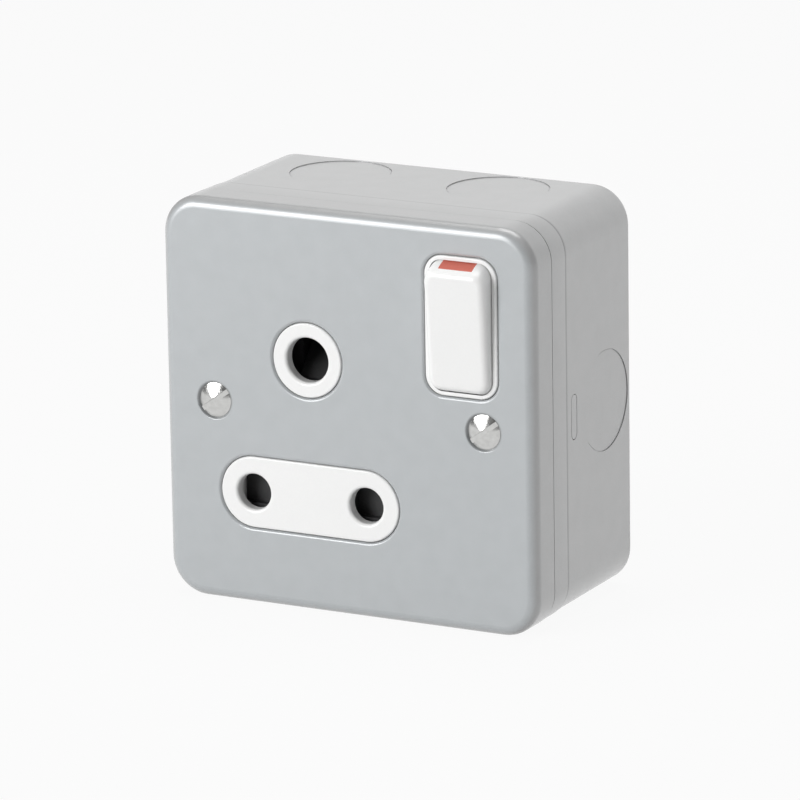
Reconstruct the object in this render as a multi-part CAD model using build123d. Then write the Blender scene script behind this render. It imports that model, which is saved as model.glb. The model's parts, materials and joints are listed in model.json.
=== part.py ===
from build123d import *
import os
from math import cos, radians, sin

# A single metal clad wall socket for 15 amp round pin plugs, with a double-pole switch.
# Millimetres. X runs to the right, Y from the front towards the wall and Z up. The origin is the
# middle of the face that lies against the wall. A depth is counted back from the front face.

os.makedirs("parts", exist_ok=True)

# Case
CASE_DEPTH = 44.0
PLATE_SIZE = 83.0
PLATE_CORNER = 8.0
PLATE_EDGE = 2.2
SHEET = 1.2
SKIRT_BACK = 8.0
RIM_BACK = 14.3
RIM_INSET = 0.1
BOX_INSET = 0.3
BOX_REAR_EDGE = 1.0
RIM_EDGE = 0.2
SEAM_EDGE = 0.12
SEAM_GAP = 0.3
SEAM_DEEP = 0.6
KNOCKOUT_R = 10.4
KNOCKOUT_DROP = 0.15
KNOCKOUT_CUT = 0.2
KNOCKOUT_CUT_DEEP = 0.25
KNOCKOUT_FROM_WALL = 11.9
KNOCKOUT_SPREAD = 17.8
REAR_KNOCKOUT_Z = 16.0
WALL_HOLE_R = 2.5
WALL_HOLE_SPREAD = 25.0
BOX_TERMINAL_SIZE = 8.0
BOX_TERMINAL_Z = -27.0
BOX_WIRE_DEPTH = 39.8

# Plate fixings
SCREW_X = 30.15
SCREW_HEAD_R = 3.6
SCREW_R = 1.72
SCREW_END = 22.5
SCREW_DOME = 0.9
SCREW_SLOT_WIDTH = 1.0
SCREW_SLOT_DEPTH = 0.9
SCREW_SLOT_TURN = 36.0
DIMPLE_R = 3.95
DIMPLE_EDGE = 0.4
DIMPLE_WALL = 0.9
DIMPLE_BACK = 2.6
PLATE_HOLE_R = 2.0
LUG_FRONT = 16.7
LUG_BACK = 19.3
LUG_HALF_HEIGHT = 4.55
LUG_INNER_X = 25.2
LUG_COLLAR_R = 3.2
LUG_COLLAR_BACK = 21.3
TENON_THICK = 2.3
TENON_CLEARANCE = 0.14
TENON_SHY = 0.05
FIT_GAP = 0.05

# Pins and their holes
PIN_SPACING = 25.4
EARTH_RISE = 28.6
PINS_X = -9.0
LINE_Z = -18.2
LINE_HOLE_R = 3.7
EARTH_HOLE_R = 4.6
HOLE_EDGE = 0.7
HOLE_WALL_BACK = 2.4
HOLE_RELIEF = 0.8
EARTH_BOSS_R = 7.65
PAIR_BOSS_R = 7.35
BOSS_FRONT = 0.1
BOSS_EDGE = 0.35
APERTURE_GAP = 0.15
APERTURE_EDGE = 0.6
LINE_TUBE_BORE = 3.55
LINE_TUBE_R = 4.9
LINE_TUBE_FRONT = 9.0
LINE_TUBE_BACK = 23.0
EARTH_TUBE_BORE = 4.38
EARTH_TUBE_R = 5.8
EARTH_TUBE_FRONT = 13.2
EARTH_TUBE_BACK = 31.0
TUBE_SLIT = 0.8
LINE_TOWER_R = 6.8
EARTH_TOWER_R = 8.0

# Switch
SWITCH_X = 25.4
SWITCH_Z = 20.8
FRAME_WIDTH = 15.9
FRAME_HEIGHT = 28.4
FRAME_CORNER = 4.0
POLE_SPREAD = 3.5
PIVOT_DEPTH = 5.0
PIVOT_R = 1.5
PIVOT_REACH = 8.55
PIVOT_GAP = 0.06
ROCKER_WIDTH = 13.5
ROCKER_END_R = 14.0
ROCKER_CORNER = 2.6
ROCKER_FACE = 7.4
ROCKER_BACK = 1.9
ROCKER_EDGE = 1.5
ROCKER_HOLLOW = (10.9, 22.0)
ROCKER_HOLLOW_FRONT = -5.8
ROCKER_TILT = 5.0
ROCKER_SIDE_GAP = 0.15
ROCKER_END_GAP = 0.2
FLAG_WIDTH = 7.4
FLAG_THICK = 0.5
FLAG_FROM = 11.0
FLAG_TO = 25.5
PLUNGER_TUBE_R = 2.4
PLUNGER_TUBE_BACK = 6.0
PLUNGER_R = 1.4
PLUNGER_GAP = 0.1
PLUNGER_FRONT = 0.6
PLUNGER_TIP = 11.8
PLUNGER_BORE_END = 7.2
PLUNGER_BORE_R = 0.95
SPRING_SEAT = -4.5
SPRING_REACH = 6.0
SEESAW_DEPTH = 17.5
SEESAW_HALF = 7.2
SEESAW_THICK = 1.0
SEESAW_TILT = -6.0
TRUNNION_R = 0.9
TRUNNION_ROOT = 1.3
TRUNNION_REACH = 2.5
TIP_R = 1.5
TIP_THICK = 0.7
TIP_HEIGHT = 5.4
TIP_GAP = 0.1
FACING_TIP = 0.6
PAD_HEIGHT = 4.4
PAD_MIDDLE = 5.9
CRADLE_FRONT = 16.9
CRADLE_HALF = 2.2
CRADLE_EAR = 0.6
CRADLE_GAP = 0.1

# Mouldings
MOULDING_FRONT = 1.25
MOULDING_BACK = 3.4
JOINT_DEPTH = 7.2
FLOOR_BACK = 10.2
TOWER_BACK = 20.0
CHAMBER_BACK = 24.0
COVER_FRONT = 25.0
COVER_BACK = 26.6
MOULDING_LEFT = -35.0
MOULDING_RIGHT = 35.8
MOULDING_BOTTOM = -37.0
MOULDING_TOP = 37.5
MOULDING_CORNER = 4.0
MOULDING_WALL = 1.8
NOTCH_R = 5.6
CHEEK_THICK = 3.0
CHEEK_BACK = 8.2
CHEEK_HALF = 5.0
CHAMBER_HALF_WIDTH = 6.95
CHAMBER_HALF_HEIGHT = 10.5
CHAMBER_MOUTH = 14.3
CHAMBER_WALL = 1.4
PARTITION_FRONT = 12.6
PARTITION_HALF = 0.5
POST_HALF = 1.4
COVER_WIDTH = 68.0
COVER_HEIGHT = 69.5
COVER_MIDDLE = (1.0, 1.75)
COVER_CORNER = 3.0
ASSEMBLY_POINTS = [(-30.5, -31.0), (31.0, -31.0), (-30.5, 31.0), (12.5, 14.0)]
ASSEMBLY_SCREW_R = 1.4
ASSEMBLY_BOSS_R = 3.2
ASSEMBLY_POST_R = 3.4
PILLAR_POINTS = [(-24.0, 26.0), (20.0, -27.0)]
PILLAR_R = 2.5
PILLAR_THREAD_R = 1.25
PILLAR_HEAD_R = 3.6
PILLAR_HEAD = 1.2
LOOSE = 0.3

# Straps and terminals
STRAP_THICK = 0.8
STRAP_FRONT = 20.2
REAR_STRAP_FRONT = 24.0
STRAP_HALF = 1.7
RING_R = 7.2
EARTH_RING_R = 8.0
CROSS_HALF = 1.8
LEAD_RISE = 7.0
LEAD_WIDE = 2.8
NEUTRAL_LEAD_HIGH = 36.0
NEUTRAL_LEG_END = -27.2
NEUTRAL_LEG_WIDE = 3.0
NEUTRAL_JOG = 7.7
TERMINAL_SIZE = 7.0
TERMINAL_FRONT = 10.25
TERMINAL_ACCESS_R = 3.5
WIRE_DEPTH = 15.0
WIRE_HOLE_R = 2.0
CLAMP_SCREW_R = 1.75
LINE_TERMINAL = (6.5, 27.7)
NEUTRAL_TERMINAL = (-7.5, 32.5)
EARTH_TERMINAL = (-25.0, 14.0)
TAG_THICK = 0.6
TAG_HALF = 2.5

# Shutter
SHUTTER_FRONT = 3.7
SHUTTER_BACK = 6.9
SHUTTER_STEP = 5.2
SHUTTER_TRAVEL = 8.2
SHUTTER_HALF_HEIGHT = 4.4
SHUTTER_REACH = 17.1
SHUTTER_GUIDE_GAP = 0.3
SHUTTER_STEM_HALF = 3.6
SHUTTER_LEDGE = 3.3
SHUTTER_PEG_R = 0.8
SHUTTER_PEG = 2.0
RAMP_HALF = 4.2
RAMP_FRONT = 4.7
RAMP_BACK = 12.4
RAMP_LOW = 5.6
RAMP_HIGH = 13.9
RAMP_FOOT = 1.5
POCKET_GAP = 0.4
POCKET_HALF = 6.0
POCKET_FLOOR = 1.2
POCKET_WALL = 1.4
STEM_OVERLAP = 2.0
SHUTTER_SPRING_R = 1.2

# Worked out from the sizes above
BOX_SIZE = PLATE_SIZE - 2 * BOX_INSET
BOX_INNER = BOX_SIZE / 2 - SHEET
BOX_FLOOR = CASE_DEPTH - SHEET
EARTH_Z = LINE_Z + EARTH_RISE
LINE_X = PINS_X + PIN_SPACING / 2
NEUTRAL_X = PINS_X - PIN_SPACING / 2
LINE_POLE = SWITCH_X - POLE_SPREAD
NEUTRAL_POLE = SWITCH_X + POLE_SPREAD
LEAD_LOW = SWITCH_Z + LEAD_RISE
LEAD_HIGH = LEAD_LOW + LEAD_WIDE
CHEEK_INNER = ROCKER_WIDTH / 2 + ROCKER_SIDE_GAP
CHEEK_OUTER = CHEEK_INNER + CHEEK_THICK
STRAP_BACK = STRAP_FRONT + STRAP_THICK
REAR_STRAP_BACK = REAR_STRAP_FRONT + STRAP_THICK
TAG_BACK = MOULDING_BACK + TAG_THICK
MIN_ALIGN = (Align.CENTER, Align.CENTER, Align.MIN)


def y_at(depth):
    """The Y coordinate of a depth behind the front face."""
    return depth - CASE_DEPTH


def slab(outline, start, end):
    """An outline drawn in X and Z, made solid between two depths."""
    drawing = Plane(origin=(0, y_at(start), 0), x_dir=(1, 0, 0), z_dir=(0, -1, 0))
    return extrude(drawing * outline, amount=start - end)


def bar(x_from, x_to, z_from, z_to):
    """A rectangular outline between two places in X and two heights."""
    middle = Pos((x_from + x_to) / 2, (z_from + z_to) / 2)
    return middle * Rectangle(x_to - x_from, z_to - z_from)


def block(x_from, x_to, start, end, z_from, z_to):
    """A rectangular block between two places in X, two depths and two heights."""
    return slab(bar(x_from, x_to, z_from, z_to), start, end)


def rod(x, z, radius, start, end):
    """A round bar along Y between two depths."""
    return slab(Pos(x, z) * Circle(radius), start, end)


def cone(x, z, start_r, end_r, start, end):
    """A cone along Y between two depths."""
    base = Plane(origin=(x, y_at(start), z), z_dir=(0, 1, 0))
    return base.location * Cone(start_r, end_r, end - start, align=MIN_ALIGN)


def along_x(radius, length):
    """A round bar along X, centred on the origin."""
    return Cylinder(radius, length, rotation=(0, 90, 0))


def square_outline(size, corner):
    """A square with rounded corners, centred on the case."""
    return RectangleRounded(size, size, corner)


def round_front(solid, radius):
    """Rounds the edges of a solid's foremost face."""
    return fillet(solid.faces().sort_by(Axis.Y)[0].edges(), radius)


def round_back(solid, radius):
    """Rounds the edges of a solid's rearmost face."""
    return fillet(solid.faces().sort_by(Axis.Y)[-1].edges(), radius)


def boss_outlines(gap=0.0):
    """The outlines of the earth boss, the pin boss and the switch frame, grown by a gap."""
    earth = Pos(PINS_X, EARTH_Z) * Circle(EARTH_BOSS_R + gap)
    pair = Pos(PINS_X, LINE_Z) * SlotCenterToCenter(PIN_SPACING, 2 * (PAIR_BOSS_R + gap))
    frame = RectangleRounded(FRAME_WIDTH + 2 * gap, FRAME_HEIGHT + 2 * gap, FRAME_CORNER + gap)
    return [earth, pair, Pos(SWITCH_X, SWITCH_Z) * frame]


# Back box


def half_shear(box, outside, inward):
    """Presses a knockout disc a little way in at a point on the wall's outside, with a cut round it."""
    sheet = Plane(origin=outside, z_dir=inward)
    recess = extrude(sheet * Circle(KNOCKOUT_R), amount=KNOCKOUT_DROP)
    disc = extrude(sheet.offset(SHEET) * Circle(KNOCKOUT_R), amount=KNOCKOUT_DROP)
    cut = extrude(sheet * (Circle(KNOCKOUT_R) - Circle(KNOCKOUT_R - KNOCKOUT_CUT)), amount=KNOCKOUT_CUT_DEEP)
    return box + disc - recess - cut


def lug_slot(side):
    """The drawing plane of a lug's slot, on the outside of the box's side wall."""
    middle = (side * BOX_SIZE / 2, y_at((LUG_FRONT + LUG_BACK) / 2), 0)
    return Plane(origin=middle, x_dir=(0, 0, 1), z_dir=(-side, 0, 0))


def make_back_box():
    body = slab(square_outline(BOX_SIZE, PLATE_CORNER - BOX_INSET), SKIRT_BACK, CASE_DEPTH)
    body = round_back(body, BOX_REAR_EDGE)
    rim_size = PLATE_SIZE - 2 * RIM_INSET
    rim_corner = PLATE_CORNER - RIM_INSET
    rim = slab(square_outline(rim_size, rim_corner), SKIRT_BACK, RIM_BACK)
    rim = round_back(rim, RIM_EDGE)
    lip = square_outline(rim_size - 2 * SEAM_DEEP, rim_corner - SEAM_DEEP)
    rim -= slab(square_outline(rim_size, rim_corner) - lip, SKIRT_BACK, SKIRT_BACK + SEAM_GAP)
    cavity_corner = PLATE_CORNER - BOX_INSET - SHEET
    cavity = slab(square_outline(2 * BOX_INNER, cavity_corner), SKIRT_BACK, BOX_FLOOR)
    mouth = slab(square_outline(rim_size - 2 * SHEET, rim_corner - SHEET), SKIRT_BACK, RIM_BACK - BOX_INSET)
    box = body + rim - cavity - mouth
    half = BOX_SIZE / 2
    for x in (-KNOCKOUT_SPREAD, KNOCKOUT_SPREAD):
        box = half_shear(box, (x, -KNOCKOUT_FROM_WALL, half), (0, 0, -1))
        box = half_shear(box, (x, -KNOCKOUT_FROM_WALL, -half), (0, 0, 1))
    for side in (-1, 1):
        box = half_shear(box, (side * half, -KNOCKOUT_FROM_WALL, 0), (-side, 0, 0))
        slot = SlotOverall(2 * (LUG_HALF_HEIGHT + TENON_CLEARANCE), TENON_THICK + 2 * TENON_CLEARANCE)
        box -= extrude(lug_slot(side) * slot, amount=SHEET)
    box = half_shear(box, (0, 0, REAR_KNOCKOUT_Z), (0, -1, 0))
    for x in (-WALL_HOLE_SPREAD, WALL_HOLE_SPREAD):
        for z in (-WALL_HOLE_SPREAD, WALL_HOLE_SPREAD):
            box -= rod(x, z, WALL_HOLE_R, BOX_FLOOR, CASE_DEPTH)
    return box


def make_plate_lug(side):
    """A tab with a threaded collar, held by a tenon that lies against the rear of its slot in the box."""
    ends = sorted((side * LUG_INNER_X, side * BOX_INNER))
    tab = block(*ends, LUG_FRONT, LUG_BACK, -LUG_HALF_HEIGHT, LUG_HALF_HEIGHT)
    seat = lug_slot(side).offset(SHEET) * Pos(0, side * (TENON_CLEARANCE - FIT_GAP))
    tenon = extrude(seat * SlotOverall(2 * LUG_HALF_HEIGHT, TENON_THICK), amount=TENON_SHY - SHEET)
    collar = rod(side * SCREW_X, 0, LUG_COLLAR_R, LUG_BACK, LUG_COLLAR_BACK)
    thread = rod(side * SCREW_X, 0, SCREW_R + FIT_GAP, LUG_FRONT, LUG_COLLAR_BACK)
    return tab + tenon + collar - thread


def make_box_earth_terminal():
    """A brass block on the box's rear wall, with a wire hole and a clamp screw hole."""
    half = BOX_TERMINAL_SIZE / 2
    front = BOX_FLOOR - BOX_TERMINAL_SIZE
    body = block(-half, half, front, BOX_FLOOR, BOX_TERMINAL_Z - half, BOX_TERMINAL_Z + half)
    wire = Pos(0, y_at(BOX_WIRE_DEPTH), BOX_TERMINAL_Z) * Cylinder(WIRE_HOLE_R, BOX_TERMINAL_SIZE)
    return body - wire - rod(0, BOX_TERMINAL_Z, CLAMP_SCREW_R, front, BOX_WIRE_DEPTH)


def make_clamp_screw(x, z, seat, towards_wall):
    """A slotted cheese-head screw of a wire clamp: its head stands on a seat, before or behind it."""
    head_r = 3.0
    head = 2.3
    shank = 3.2
    slot_half = 0.4
    slot_deep = 1.0
    way = 1 if towards_wall else -1
    top = seat + way * head
    head_ends = sorted((seat, top))
    shank_ends = sorted((seat, seat - way * (STRAP_THICK + shank)))
    slot_ends = sorted((top, top - way * slot_deep))
    screw = rod(x, z, head_r, *head_ends) + rod(x, z, CLAMP_SCREW_R - FIT_GAP, *shank_ends)
    return screw - block(x - head_r, x + head_r, *slot_ends, z - slot_half, z + slot_half)


# Front plate


def make_front_plate():
    outer = round_front(slab(square_outline(PLATE_SIZE, PLATE_CORNER), 0, SKIRT_BACK), PLATE_EDGE)
    outer = round_back(outer, SEAM_EDGE)
    inner = slab(square_outline(PLATE_SIZE - 2 * SHEET, PLATE_CORNER - SHEET), SHEET, SKIRT_BACK)
    plate = outer - round_front(inner, PLATE_EDGE - SHEET)
    for outline in boss_outlines(APERTURE_GAP):
        plate -= slab(outline, 0, SHEET)
    face = plate.faces().sort_by(Axis.Y)[0]
    rims = [edge for wire in face.inner_wires() for edge in wire.edges()]
    plate = fillet(rims, APERTURE_EDGE)
    taper = DIMPLE_R - PLATE_HOLE_R
    for x in (-SCREW_X, SCREW_X):
        plate += cone(x, 0, DIMPLE_R + DIMPLE_WALL, PLATE_HOLE_R + SHEET, SHEET, DIMPLE_BACK)
        plate -= cone(x, 0, DIMPLE_R, PLATE_HOLE_R, 0, taper)
        plate -= rod(x, 0, PLATE_HOLE_R, 0, DIMPLE_BACK)
    mouths = [
        edge
        for edge in plate.edges().filter_by(GeomType.CIRCLE)
        if abs(edge.center().Y - y_at(0)) < FIT_GAP and abs(edge.radius - DIMPLE_R) < FIT_GAP
    ]
    return fillet(mouths, DIMPLE_EDGE)


def make_plate_screw(x):
    """A raised countersunk screw with a slot, turned about its axis and seated in the plate's dimple."""
    rim = DIMPLE_R - SCREW_HEAD_R
    crown = rim - SCREW_DOME
    head_r = SCREW_HEAD_R - FIT_GAP
    dome_r = (head_r**2 + SCREW_DOME**2) / (2 * SCREW_DOME)
    shoulder = crown + dome_r - (dome_r**2 - head_r**2 / 4) ** 0.5
    dome = ThreePointArc((0, crown), (head_r / 2, shoulder), (head_r, rim))
    seat = rim + head_r - SCREW_R
    sides = Polyline((head_r, rim), (SCREW_R, seat), (SCREW_R, SCREW_END), (0, SCREW_END), (0, crown))
    half_section = Plane(origin=(x, y_at(0), 0)) * make_face([dome, sides])
    screw = revolve(half_section, Axis((x, 0, 0), (0, 1, 0)))
    slot = Rectangle(4 * SCREW_HEAD_R, SCREW_SLOT_WIDTH, rotation=SCREW_SLOT_TURN)
    return screw - slab(Pos(x, 0) * slot, crown - 1, crown + SCREW_SLOT_DEPTH)


# Front moulding


def moulding_outline(inset=0.0):
    """The outline shared by the front moulding and the base, notched round the plate screws."""
    inner = (MOULDING_LEFT + inset, MOULDING_RIGHT - inset, MOULDING_BOTTOM + inset, MOULDING_TOP - inset)
    left, right, bottom, top = inner
    middle = Pos((left + right) / 2, (bottom + top) / 2)
    outline = middle * RectangleRounded(right - left, top - bottom, MOULDING_CORNER - inset)
    notch = NOTCH_R + inset
    for side in (-1, 1):
        ends = sorted((side * SCREW_X, side * (SCREW_X + 2 * NOTCH_R)))
        outline -= Pos(side * SCREW_X, 0) * Circle(notch)
        outline -= bar(*ends, -notch, notch)
    return outline


def at_pivot(solid, tilt=0.0):
    """Puts a solid drawn about the rocker's pivot in its place, turned by a tilt."""
    return Pos(SWITCH_X, y_at(PIVOT_DEPTH), SWITCH_Z) * Rot(tilt, 0, 0) * solid


def rocker_drum(side_gap=0.0, end_gap=0.0):
    """The drum that the rocker is cut from: its ends turn about the pivot."""
    drum = along_x(ROCKER_END_R + end_gap, ROCKER_WIDTH + 2 * side_gap)
    return fillet(drum.edges().filter_by(GeomType.CIRCLE), ROCKER_CORNER + side_gap)


def make_front_moulding():
    body = slab(moulding_outline(), MOULDING_FRONT, JOINT_DEPTH)
    body -= slab(moulding_outline(MOULDING_WALL), MOULDING_BACK, JOINT_DEPTH)
    for outline in boss_outlines():
        body += round_front(slab(outline, BOSS_FRONT, MOULDING_FRONT), BOSS_EDGE)
    guide_thick = 1.2
    for side in (-1, 1):
        cheek = sorted((SWITCH_X + side * CHEEK_INNER, SWITCH_X + side * CHEEK_OUTER))
        body += block(*cheek, MOULDING_BACK, CHEEK_BACK, SWITCH_Z - CHEEK_HALF, SWITCH_Z + CHEEK_HALF)
        guide_face = SHUTTER_REACH + SHUTTER_GUIDE_GAP
        guide = sorted((PINS_X + side * guide_face, PINS_X + side * (guide_face + guide_thick)))
        body += block(*guide, MOULDING_BACK, JOINT_DEPTH, MOULDING_BOTTOM + 1, LINE_Z + PAIR_BOSS_R)
    for x, z in ASSEMBLY_POINTS:
        body += rod(x, z, ASSEMBLY_BOSS_R, MOULDING_BACK, JOINT_DEPTH)
    body += rod(*PILLAR_POINTS[1], PILLAR_HEAD_R, MOULDING_BACK, TAG_BACK)
    body -= at_pivot(rocker_drum(ROCKER_SIDE_GAP, ROCKER_END_GAP))
    half = PIVOT_R + PIVOT_GAP
    reach = PIVOT_REACH + LOOSE
    body -= at_pivot(along_x(half, 2 * reach))
    slot_from, slot_to = SWITCH_X - reach, SWITCH_X + reach
    body -= block(slot_from, slot_to, PIVOT_DEPTH, CHEEK_BACK, SWITCH_Z - half, SWITCH_Z + half)
    for x in (LINE_X, NEUTRAL_X):
        body -= rod(x, LINE_Z, LINE_HOLE_R, 0, MOULDING_BACK)
        body -= rod(x, LINE_Z, LINE_HOLE_R + HOLE_RELIEF, HOLE_WALL_BACK, MOULDING_BACK)
    body -= rod(PINS_X, EARTH_Z, EARTH_HOLE_R, 0, MOULDING_BACK)
    body -= rod(PINS_X, EARTH_Z, EARTH_HOLE_R + HOLE_RELIEF, HOLE_WALL_BACK, MOULDING_BACK)
    rings = [edge for edge in body.edges().filter_by(GeomType.CIRCLE) if edge.is_closed]
    mouths = [
        edge
        for edge in rings
        if abs(edge.center().Y - y_at(BOSS_FRONT)) < FIT_GAP and edge.radius < EARTH_HOLE_R + FIT_GAP
    ]
    body = fillet(mouths, HOLE_EDGE)
    for x, z in PILLAR_POINTS:
        body -= rod(x, z, PILLAR_R + PLUNGER_GAP, MOULDING_FRONT, TAG_BACK)
    for x, z in ASSEMBLY_POINTS:
        body -= rod(x, z, ASSEMBLY_SCREW_R, MOULDING_BACK - 0.5, JOINT_DEPTH)
    return body


def make_plate_pillar(x, z):
    """A short threaded pillar welded to the plate's inner face."""
    return rod(x, z, PILLAR_R, SHEET, MOULDING_BACK) - rod(x, z, PILLAR_THREAD_R, SHEET, MOULDING_BACK)


def make_pillar_screw(x, z):
    head_back = TAG_BACK + PILLAR_HEAD
    head = rod(x, z, PILLAR_HEAD_R, TAG_BACK, head_back)
    slot = block(x - PILLAR_HEAD_R, x + PILLAR_HEAD_R, head_back - 0.5, head_back, z - 0.4, z + 0.4)
    return head + rod(x, z, PILLAR_THREAD_R - FIT_GAP, SHEET + 0.4, TAG_BACK) - slot


# Rocker


def flag_band():
    """The red strip let into the rocker's upper end, a sector of a thin ring about the pivot."""
    ring = along_x(ROCKER_END_R, FLAG_WIDTH) - along_x(ROCKER_END_R - FLAG_THICK, FLAG_WIDTH)
    reach = 2 * ROCKER_END_R
    corners = [(reach * sin(radians(angle)), reach * cos(radians(angle))) for angle in (FLAG_FROM, FLAG_TO)]
    side_view = Plane(origin=(FLAG_WIDTH / 2, 0, 0), x_dir=(0, -1, 0), z_dir=(-1, 0, 0))
    wedge = make_face(Polyline((0, 0), *corners, close=True))
    return ring & extrude(side_view * wedge, amount=FLAG_WIDTH)


def along_y(x, radius, start, end):
    """A round bar along Y, drawn about the rocker's pivot."""
    return extrude(Plane(origin=(x, start, 0), z_dir=(0, 1, 0)) * Circle(radius), amount=end - start)


def make_rocker():
    cutter = 3 * ROCKER_END_R
    rocker = rocker_drum()
    rocker -= Pos(0, -ROCKER_FACE - cutter / 2, 0) * Box(cutter, cutter, cutter)
    rocker -= Pos(0, ROCKER_BACK + cutter / 2, 0) * Box(cutter, cutter, cutter)
    rocker = round_front(rocker, ROCKER_EDGE)
    width, height = ROCKER_HOLLOW
    depth = ROCKER_BACK - ROCKER_HOLLOW_FRONT
    rocker -= Pos(0, ROCKER_HOLLOW_FRONT + depth / 2, 0) * Box(width, depth, height)
    for pole in (-POLE_SPREAD, POLE_SPREAD):
        rocker += along_y(pole, PLUNGER_TUBE_R, ROCKER_HOLLOW_FRONT, PLUNGER_TUBE_BACK)
        rocker -= along_y(pole, PLUNGER_R + PLUNGER_GAP, SPRING_SEAT, PLUNGER_TUBE_BACK)
    pin_root = ROCKER_HOLLOW[0] / 2
    for side in (-1, 1):
        rocker += Pos(side * (PIVOT_REACH + pin_root) / 2, 0, 0) * along_x(PIVOT_R, PIVOT_REACH - pin_root)
    return at_pivot(rocker - flag_band(), ROCKER_TILT)


def make_rocker_flag():
    return at_pivot(flag_band(), ROCKER_TILT)


def make_plunger(pole):
    """A hollow plunger with a round tip, in one of the rocker's tubes."""
    body = along_y(pole, PLUNGER_R, PLUNGER_FRONT, PLUNGER_TIP - PLUNGER_R)
    body += Pos(pole, PLUNGER_TIP - PLUNGER_R, 0) * Sphere(PLUNGER_R)
    return at_pivot(body - along_y(pole, PLUNGER_BORE_R, PLUNGER_FRONT, PLUNGER_BORE_END), ROCKER_TILT)


def coil(radius, wire_r, height, turns):
    """A coil spring along Z, from zero up to a height."""
    rise = height - 2 * wire_r
    line = Helix(pitch=rise / turns, height=rise, radius=radius)
    section = Plane(origin=line @ 0, z_dir=line % 0) * Circle(wire_r)
    return Pos(0, 0, wire_r) * sweep(section, path=line, is_frenet=True)


def make_plunger_spring(pole):
    spring = coil(0.72, 0.15, SPRING_REACH - SPRING_SEAT - PLUNGER_GAP, 12)
    foot = Pos(pole, SPRING_SEAT + PLUNGER_GAP / 2, 0)
    return at_pivot(foot * Rot(-90, 0, 0) * spring, ROCKER_TILT)


# Base and cover


def chamber_windows():
    """The openings in the switch chamber's walls that the straps pass through."""
    gap = 0.3
    front = STRAP_FRONT - gap / 2
    left = SWITCH_X - CHAMBER_HALF_WIDTH
    bottom = SWITCH_Z - CHAMBER_HALF_HEIGHT
    top = SWITCH_Z + CHAMBER_HALF_HEIGHT
    half = STRAP_HALF + gap
    return [
        block(LINE_POLE - half, LINE_POLE + half, front, CHAMBER_BACK, bottom - CHAMBER_WALL, bottom),
        block(NEUTRAL_POLE - half, NEUTRAL_POLE + half, front, CHAMBER_BACK, bottom - CHAMBER_WALL, bottom),
        block(NEUTRAL_POLE - half, NEUTRAL_POLE + half, front, CHAMBER_BACK, top, top + CHAMBER_WALL),
        block(left - CHAMBER_WALL, left, front, CHAMBER_BACK, LEAD_LOW - gap, LEAD_HIGH + gap),
    ]


def switch_block(half_width, half_height, start, end):
    """A block centred on the switch."""
    low, high = SWITCH_Z - half_height, SWITCH_Z + half_height
    return block(SWITCH_X - half_width, SWITCH_X + half_width, start, end, low, high)


def make_socket_base():
    base = slab(moulding_outline(), JOINT_DEPTH, FLOOR_BACK)
    for x in (LINE_X, NEUTRAL_X):
        base += rod(x, LINE_Z, LINE_TOWER_R, FLOOR_BACK, TOWER_BACK)
    base += rod(PINS_X, EARTH_Z, EARTH_TOWER_R, FLOOR_BACK, TOWER_BACK)
    pocket_low = RAMP_LOW - RAMP_FOOT - SHUTTER_TRAVEL - POCKET_GAP
    pocket_back = RAMP_BACK + POCKET_GAP
    outer_back = pocket_back + POCKET_WALL
    outer_left, outer_right = PINS_X - POCKET_HALF, PINS_X + POCKET_HALF
    base += block(outer_left, outer_right, FLOOR_BACK, outer_back, pocket_low - POCKET_FLOOR, EARTH_Z)
    for x, z in ASSEMBLY_POINTS:
        base += rod(x, z, ASSEMBLY_POST_R, FLOOR_BACK, COVER_FRONT)
    outer_width = CHAMBER_HALF_WIDTH + CHAMBER_WALL
    outer_height = CHAMBER_HALF_HEIGHT + CHAMBER_WALL
    base += switch_block(outer_width, outer_height, FLOOR_BACK, CHAMBER_BACK)
    base -= switch_block(CHAMBER_HALF_WIDTH, CHAMBER_HALF_HEIGHT, FLOOR_BACK, CHAMBER_BACK)
    base -= switch_block(CHAMBER_HALF_WIDTH, CHAMBER_MOUTH, JOINT_DEPTH, FLOOR_BACK)
    base -= switch_block(CHEEK_OUTER + 0.1, CHEEK_HALF + 0.1, JOINT_DEPTH, CHEEK_BACK + 0.1)
    base += switch_block(PARTITION_HALF, CHAMBER_HALF_HEIGHT, PARTITION_FRONT, CHAMBER_BACK)
    post_front = PIVOT_DEPTH + PIVOT_R + 0.2
    for side in (-1, 1):
        post = sorted((SWITCH_X + side * (CHAMBER_HALF_WIDTH + 0.1), SWITCH_X + side * (PIVOT_REACH + LOOSE)))
        base += block(*post, post_front, FLOOR_BACK, SWITCH_Z - POST_HALF, SWITCH_Z + POST_HALF)
    for x in (LINE_X, NEUTRAL_X):
        base -= rod(x, LINE_Z, LINE_HOLE_R + 0.2, JOINT_DEPTH, LINE_TUBE_FRONT)
        base -= rod(x, LINE_Z, LINE_TUBE_R + FIT_GAP, LINE_TUBE_FRONT, TOWER_BACK)
    base -= rod(PINS_X, EARTH_Z, EARTH_HOLE_R + 0.15, JOINT_DEPTH, EARTH_TUBE_FRONT)
    base -= rod(PINS_X, EARTH_Z, EARTH_TUBE_R + FIT_GAP, EARTH_TUBE_FRONT, TOWER_BACK)
    pocket_half = RAMP_HALF + LOOSE
    pocket_high = RAMP_HIGH + POCKET_GAP
    base -= block(PINS_X - pocket_half, PINS_X + pocket_half, JOINT_DEPTH, pocket_back, pocket_low, pocket_high)
    for window in chamber_windows():
        base -= window
    x, z = EARTH_TERMINAL
    tag_half = TAG_HALF + LOOSE
    base -= block(x - tag_half, x + tag_half, JOINT_DEPTH, FLOOR_BACK, z - LOOSE, z + TAG_THICK + LOOSE)
    for x, z in ASSEMBLY_POINTS:
        base -= rod(x, z, ASSEMBLY_SCREW_R + 0.1, JOINT_DEPTH, COVER_FRONT)
    return base


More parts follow.
